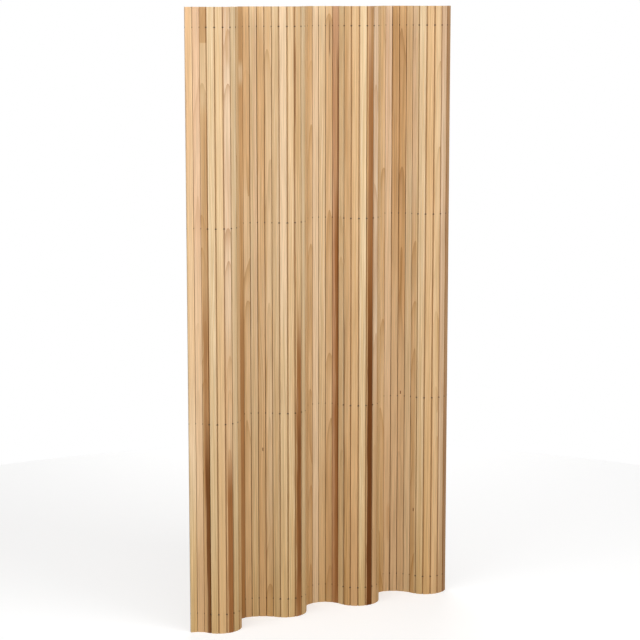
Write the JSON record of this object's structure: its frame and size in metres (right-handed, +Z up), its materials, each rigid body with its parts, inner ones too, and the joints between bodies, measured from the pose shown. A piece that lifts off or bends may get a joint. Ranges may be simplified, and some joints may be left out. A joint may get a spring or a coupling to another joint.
{
  "type": "folding screen",
  "caption": "Free-standing wooden screen of narrow upright slats strung on steel cables, standing in a serpentine line and able to roll from slat to slat.",
  "frame": {"origin": "on the floor, under the middle of the footprint of the screen as it stands", "axes": "+Z up along the slats, +X along the screen's mean line from its left end to its right end, -Y towards the side that the picture shows"},
  "size_m": [0.7415, 0.1084, 1.5],
  "materials": {
    "slat": "sanded solid softwood, clear matt lacquer, now and then with reddish heartwood",
    "cable": "fine stranded steel cable",
    "ferrule": "plain crimped sleeve"
  },
  "bodies": {
    "slat_01": {"slat_01": "slat", "ferrules_left": "ferrule"},
    "slat_02": {"slat_02": "slat"},
    "slat_03": {"slat_03": "slat"},
    "slat_04": {"slat_04": "slat"},
    "slat_05": {"slat_05": "slat"},
    "slat_06": {"slat_06": "slat"},
    "slat_07": {"slat_07": "slat"},
    "slat_08": {"slat_08": "slat"},
    "slat_09": {"slat_09": "slat"},
    "slat_10": {"slat_10": "slat"},
    "slat_11": {"slat_11": "slat"},
    "slat_12": {"slat_12": "slat"},
    "slat_13": {"slat_13": "slat"},
    "slat_14": {"slat_14": "slat"},
    "slat_15": {"slat_15": "slat"},
    "slat_16": {"slat_16": "slat"},
    "slat_17": {"slat_17": "slat"},
    "slat_18": {"slat_18": "slat"},
    "slat_19": {"slat_19": "slat"},
    "slat_20": {"slat_20": "slat"},
    "slat_21": {"slat_21": "slat"},
    "slat_22": {"slat_22": "slat"},
    "slat_23": {"slat_23": "slat"},
    "slat_24": {"slat_24": "slat"},
    "slat_25": {"slat_25": "slat"},
    "slat_26": {"slat_26": "slat"},
    "slat_27": {"slat_27": "slat", "cable_1": "cable", "cable_2": "cable", "cable_3": "cable", "cable_4": "cable"},
    "slat_28": {"slat_28": "slat"},
    "slat_29": {"slat_29": "slat"},
    "slat_30": {"slat_30": "slat"},
    "slat_31": {"slat_31": "slat"},
    "slat_32": {"slat_32": "slat"},
    "slat_33": {"slat_33": "slat"},
    "slat_34": {"slat_34": "slat"},
    "slat_35": {"slat_35": "slat"},
    "slat_36": {"slat_36": "slat"},
    "slat_37": {"slat_37": "slat"},
    "slat_38": {"slat_38": "slat"},
    "slat_39": {"slat_39": "slat"},
    "slat_40": {"slat_40": "slat"},
    "slat_41": {"slat_41": "slat"},
    "slat_42": {"slat_42": "slat"},
    "slat_43": {"slat_43": "slat"},
    "slat_44": {"slat_44": "slat"},
    "slat_45": {"slat_45": "slat"},
    "slat_46": {"slat_46": "slat"},
    "slat_47": {"slat_47": "slat"},
    "slat_48": {"slat_48": "slat"},
    "slat_49": {"slat_49": "slat"},
    "slat_50": {"slat_50": "slat"},
    "slat_51": {"slat_51": "slat"},
    "slat_52": {"slat_52": "slat"},
    "slat_53": {"slat_53": "slat"},
    "slat_54": {"slat_54": "slat", "ferrules_right": "ferrule"}
  },
  "joints": [
    {"name": "hinge_26", "type": "hinge", "parent": "slat_27", "child": "slat_26", "pos_m": [-0.01057, 0.04549, 0], "axis": [0, 0, 1], "range_deg": [-49, 11], "deforming": ["cable_1", "cable_2", "cable_3", "cable_4"]},
    {"name": "hinge_25", "type": "hinge", "parent": "slat_26", "child": "slat_25", "pos_m": [-0.02591, 0.03515, 0], "axis": [0, 0, 1], "range_deg": [-49, 11], "deforming": ["cable_1", "cable_2", "cable_3", "cable_4"]},
    {"name": "hinge_24", "type": "hinge", "parent": "slat_25", "child": "slat_24", "pos_m": [-0.03704, 0.02037, 0], "axis": [0, 0, 1], "range_deg": [-49, 11], "deforming": ["cable_1", "cable_2", "cable_3", "cable_4"]},
    {"name": "hinge_23", "type": "hinge", "parent": "slat_24", "child": "slat_23", "pos_m": [-0.04276, 0.00278, 0], "axis": [0, 0, -1], "range_deg": [-51, 9], "deforming": ["cable_1", "cable_2", "cable_3", "cable_4"]},
    {"name": "hinge_22", "type": "hinge", "parent": "slat_23", "child": "slat_22", "pos_m": [-0.0544, -0.0116, 0], "axis": [0, 0, -1], "range_deg": [-51, 9], "deforming": ["cable_1", "cable_2", "cable_3", "cable_4"]},
    {"name": "hinge_21", "type": "hinge", "parent": "slat_22", "child": "slat_21", "pos_m": [-0.07042, -0.02085, 0], "axis": [0, 0, -1], "range_deg": [-51, 9], "deforming": ["cable_1", "cable_2", "cable_3", "cable_4"]},
    {"name": "hinge_20", "type": "hinge", "parent": "slat_21", "child": "slat_20", "pos_m": [-0.0887, -0.02374, 0], "axis": [0, 0, -1], "range_deg": [-51, 9], "deforming": ["cable_1", "cable_2", "cable_3", "cable_4"]},
    {"name": "hinge_19", "type": "hinge", "parent": "slat_20", "child": "slat_19", "pos_m": [-0.10679, -0.0199, 0], "axis": [0, 0, -1], "range_deg": [-51, 9], "deforming": ["cable_1", "cable_2", "cable_3", "cable_4"]},
    {"name": "hinge_18", "type": "hinge", "parent": "slat_19", "child": "slat_18", "pos_m": [-0.12231, -0.00982, 0], "axis": [0, 0, -1], "range_deg": [-51, 9], "deforming": ["cable_1", "cable_2", "cable_3", "cable_4"]},
    {"name": "hinge_17", "type": "hinge", "parent": "slat_18", "child": "slat_17", "pos_m": [-0.13318, 0.00515, 0], "axis": [0, 0, 1], "range_deg": [-41, 19], "deforming": ["cable_1", "cable_2", "cable_3", "cable_4"]},
    {"name": "hinge_16", "type": "hinge", "parent": "slat_17", "child": "slat_16", "pos_m": [-0.14671, 0.01776, 0], "axis": [0, 0, 1], "range_deg": [-41, 19], "deforming": ["cable_1", "cable_2", "cable_3", "cable_4"]},
    {"name": "hinge_15", "type": "hinge", "parent": "slat_16", "child": "slat_15", "pos_m": [-0.1624, 0.02757, 0], "axis": [0, 0, 1], "range_deg": [-41, 19], "deforming": ["cable_1", "cable_2", "cable_3", "cable_4"]},
    {"name": "hinge_14", "type": "hinge", "parent": "slat_15", "child": "slat_14", "pos_m": [-0.17967, 0.0342, 0], "axis": [0, 0, 1], "range_deg": [-41, 19], "deforming": ["cable_1", "cable_2", "cable_3", "cable_4"]},
    {"name": "hinge_13", "type": "hinge", "parent": "slat_14", "child": "slat_13", "pos_m": [-0.19789, 0.03741, 0], "axis": [0, 0, 1], "range_deg": [-53.5, 6.5], "deforming": ["cable_1", "cable_2", "cable_3", "cable_4"]},
    {"name": "hinge_12", "type": "hinge", "parent": "slat_13", "child": "slat_12", "pos_m": [-0.21588, 0.03309, 0], "axis": [0, 0, 1], "range_deg": [-53.5, 6.5], "deforming": ["cable_1", "cable_2", "cable_3", "cable_4"]},
    {"name": "hinge_11", "type": "hinge", "parent": "slat_12", "child": "slat_11", "pos_m": [-0.23065, 0.02196, 0], "axis": [0, 0, 1], "range_deg": [-53.5, 6.5], "deforming": ["cable_1", "cable_2", "cable_3", "cable_4"]},
    {"name": "hinge_10", "type": "hinge", "parent": "slat_11", "child": "slat_10", "pos_m": [-0.23976, 0.00585, 0], "axis": [0, 0, 1], "range_deg": [-53.5, 6.5], "deforming": ["cable_1", "cable_2", "cable_3", "cable_4"]},
    {"name": "hinge_09", "type": "hinge", "parent": "slat_10", "child": "slat_09", "pos_m": [-0.2417, -0.01254, 0], "axis": [0, 0, -1], "range_deg": [-51, 9], "deforming": ["cable_1", "cable_2", "cable_3", "cable_4"]},
    {"name": "hinge_08", "type": "hinge", "parent": "slat_09", "child": "slat_08", "pos_m": [-0.2501, -0.02903, 0], "axis": [0, 0, -1], "range_deg": [-51, 9], "deforming": ["cable_1", "cable_2", "cable_3", "cable_4"]},
    {"name": "hinge_07", "type": "hinge", "parent": "slat_08", "child": "slat_07", "pos_m": [-0.26384, -0.04141, 0], "axis": [0, 0, -1], "range_deg": [-51, 9], "deforming": ["cable_1", "cable_2", "cable_3", "cable_4"]},
    {"name": "hinge_06", "type": "hinge", "parent": "slat_07", "child": "slat_06", "pos_m": [-0.28112, -0.04804, 0], "axis": [0, 0, -1], "range_deg": [-51, 9], "deforming": ["cable_1", "cable_2", "cable_3", "cable_4"]},
    {"name": "hinge_05", "type": "hinge", "parent": "slat_06", "child": "slat_05", "pos_m": [-0.29962, -0.04804, 0], "axis": [0, 0, -1], "range_deg": [-51, 9], "deforming": ["cable_1", "cable_2", "cable_3", "cable_4"]},
    {"name": "hinge_04", "type": "hinge", "parent": "slat_05", "child": "slat_04", "pos_m": [-0.31689, -0.04141, 0], "axis": [0, 0, -1], "range_deg": [-51, 9], "deforming": ["cable_1", "cable_2", "cable_3", "cable_4"]},
    {"name": "hinge_03", "type": "hinge", "parent": "slat_04", "child": "slat_03", "pos_m": [-0.33064, -0.02903, 0], "axis": [0, 0, -1], "range_deg": [-51, 9], "deforming": ["cable_1", "cable_2", "cable_3", "cable_4"]},
    {"name": "hinge_02", "type": "hinge", "parent": "slat_03", "child": "slat_02", "pos_m": [-0.33903, -0.01254, 0], "axis": [0, 0, 1], "range_deg": [-53, 7], "deforming": ["cable_1", "cable_2", "cable_3", "cable_4"]},
    {"name": "hinge_01", "type": "hinge", "parent": "slat_02", "child": "slat_01", "pos_m": [-0.35321, -0.00065, 0], "axis": [0, 0, 1], "range_deg": [-53, 7], "deforming": ["cable_1", "cable_2", "cable_3", "cable_4"]},
    {"name": "hinge_27", "type": "hinge", "parent": "slat_27", "child": "slat_28", "pos_m": [0.0073, 0.05028, 0], "axis": [0, 0, -1], "range_deg": [-49, 11], "deforming": ["cable_1", "cable_2", "cable_3", "cable_4"]},
    {"name": "hinge_28", "type": "hinge", "parent": "slat_28", "child": "slat_29", "pos_m": [0.02575, 0.04899, 0], "axis": [0, 0, -1], "range_deg": [-49, 11], "deforming": ["cable_1", "cable_2", "cable_3", "cable_4"]},
    {"name": "hinge_29", "type": "hinge", "parent": "slat_29", "child": "slat_30", "pos_m": [0.04278, 0.04176, 0], "axis": [0, 0, -1], "range_deg": [-49, 11], "deforming": ["cable_1", "cable_2", "cable_3", "cable_4"]},
    {"name": "hinge_30", "type": "hinge", "parent": "slat_30", "child": "slat_31", "pos_m": [0.05653, 0.02938, 0], "axis": [0, 0, -1], "range_deg": [-49, 11], "deforming": ["cable_1", "cable_2", "cable_3", "cable_4"]},
    {"name": "hinge_31", "type": "hinge", "parent": "slat_31", "child": "slat_32", "pos_m": [0.0655, 0.0132, 0], "axis": [0, 0, -1], "range_deg": [-49, 11], "deforming": ["cable_1", "cable_2", "cable_3", "cable_4"]},
    {"name": "hinge_32", "type": "hinge", "parent": "slat_32", "child": "slat_33", "pos_m": [0.06871, -0.00502, 0], "axis": [0, 0, 1], "range_deg": [-50, 10], "deforming": ["cable_1", "cable_2", "cable_3", "cable_4"]},
    {"name": "hinge_33", "type": "hinge", "parent": "slat_33", "child": "slat_34", "pos_m": [0.07796, -0.02104, 0], "axis": [0, 0, 1], "range_deg": [-50, 10], "deforming": ["cable_1", "cable_2", "cable_3", "cable_4"]},
    {"name": "hinge_34", "type": "hinge", "parent": "slat_34", "child": "slat_35", "pos_m": [0.09213, -0.03293, 0], "axis": [0, 0, 1], "range_deg": [-50, 10], "deforming": ["cable_1", "cable_2", "cable_3", "cable_4"]},
    {"name": "hinge_35", "type": "hinge", "parent": "slat_35", "child": "slat_36", "pos_m": [0.10952, -0.03926, 0], "axis": [0, 0, 1], "range_deg": [-50, 10], "deforming": ["cable_1", "cable_2", "cable_3", "cable_4"]},
    {"name": "hinge_36", "type": "hinge", "parent": "slat_36", "child": "slat_37", "pos_m": [0.12802, -0.03926, 0], "axis": [0, 0, 1], "range_deg": [-50, 10], "deforming": ["cable_1", "cable_2", "cable_3", "cable_4"]},
    {"name": "hinge_37", "type": "hinge", "parent": "slat_37", "child": "slat_38", "pos_m": [0.1454, -0.03293, 0], "axis": [0, 0, 1], "range_deg": [-50, 10], "deforming": ["cable_1", "cable_2", "cable_3", "cable_4"]},
    {"name": "hinge_38", "type": "hinge", "parent": "slat_38", "child": "slat_39", "pos_m": [0.15957, -0.02104, 0], "axis": [0, 0, 1], "range_deg": [-50, 10], "deforming": ["cable_1", "cable_2", "cable_3", "cable_4"]},
    {"name": "hinge_39", "type": "hinge", "parent": "slat_39", "child": "slat_40", "pos_m": [0.16882, -0.00502, 0], "axis": [0, 0, 1], "range_deg": [-50, 10], "deforming": ["cable_1", "cable_2", "cable_3", "cable_4"]},
    {"name": "hinge_40", "type": "hinge", "parent": "slat_40", "child": "slat_41", "pos_m": [0.17204, 0.0132, 0], "axis": [0, 0, -1], "range_deg": [-55, 5], "deforming": ["cable_1", "cable_2", "cable_3", "cable_4"]},
    {"name": "hinge_41", "type": "hinge", "parent": "slat_41", "child": "slat_42", "pos_m": [0.18265, 0.02836, 0], "axis": [0, 0, -1], "range_deg": [-55, 5], "deforming": ["cable_1", "cable_2", "cable_3", "cable_4"]},
    {"name": "hinge_42", "type": "hinge", "parent": "slat_42", "child": "slat_43", "pos_m": [0.19867, 0.03761, 0], "axis": [0, 0, -1], "range_deg": [-55, 5], "deforming": ["cable_1", "cable_2", "cable_3", "cable_4"]},
    {"name": "hinge_43", "type": "hinge", "parent": "slat_43", "child": "slat_44", "pos_m": [0.2171, 0.03922, 0], "axis": [0, 0, -1], "range_deg": [-55, 5], "deforming": ["cable_1", "cable_2", "cable_3", "cable_4"]},
    {"name": "hinge_44", "type": "hinge", "parent": "slat_44", "child": "slat_45", "pos_m": [0.23448, 0.03289, 0], "axis": [0, 0, -1], "range_deg": [-43, 17], "deforming": ["cable_1", "cable_2", "cable_3", "cable_4"]},
    {"name": "hinge_45", "type": "hinge", "parent": "slat_45", "child": "slat_46", "pos_m": [0.25, 0.02281, 0], "axis": [0, 0, -1], "range_deg": [-43, 17], "deforming": ["cable_1", "cable_2", "cable_3", "cable_4"]},
    {"name": "hinge_46", "type": "hinge", "parent": "slat_46", "child": "slat_47", "pos_m": [0.26285, 0.00951, 0], "axis": [0, 0, -1], "range_deg": [-43, 17], "deforming": ["cable_1", "cable_2", "cable_3", "cable_4"]},
    {"name": "hinge_47", "type": "hinge", "parent": "slat_47", "child": "slat_48", "pos_m": [0.27238, -0.00635, 0], "axis": [0, 0, -1], "range_deg": [-43, 17], "deforming": ["cable_1", "cable_2", "cable_3", "cable_4"]},
    {"name": "hinge_48", "type": "hinge", "parent": "slat_48", "child": "slat_49", "pos_m": [0.27809, -0.02395, 0], "axis": [0, 0, 1], "range_deg": [-51, 9], "deforming": ["cable_1", "cable_2", "cable_3", "cable_4"]},
    {"name": "hinge_49", "type": "hinge", "parent": "slat_49", "child": "slat_50", "pos_m": [0.28974, -0.03832, 0], "axis": [0, 0, 1], "range_deg": [-51, 9], "deforming": ["cable_1", "cable_2", "cable_3", "cable_4"]},
    {"name": "hinge_50", "type": "hinge", "parent": "slat_50", "child": "slat_51", "pos_m": [0.30576, -0.04757, 0], "axis": [0, 0, 1], "range_deg": [-51, 9], "deforming": ["cable_1", "cable_2", "cable_3", "cable_4"]},
    {"name": "hinge_51", "type": "hinge", "parent": "slat_51", "child": "slat_52", "pos_m": [0.32403, -0.05047, 0], "axis": [0, 0, 1], "range_deg": [-51, 9], "deforming": ["cable_1", "cable_2", "cable_3", "cable_4"]},
    {"name": "hinge_52", "type": "hinge", "parent": "slat_52", "child": "slat_53", "pos_m": [0.34213, -0.04662, 0], "axis": [0, 0, 1], "range_deg": [-51, 9], "deforming": ["cable_1", "cable_2", "cable_3", "cable_4"]},
    {"name": "hinge_53", "type": "hinge", "parent": "slat_53", "child": "slat_54", "pos_m": [0.35764, -0.03654, 0], "axis": [0, 0, 1], "range_deg": [-51, 9], "deforming": ["cable_1", "cable_2", "cable_3", "cable_4"]}
  ]
}
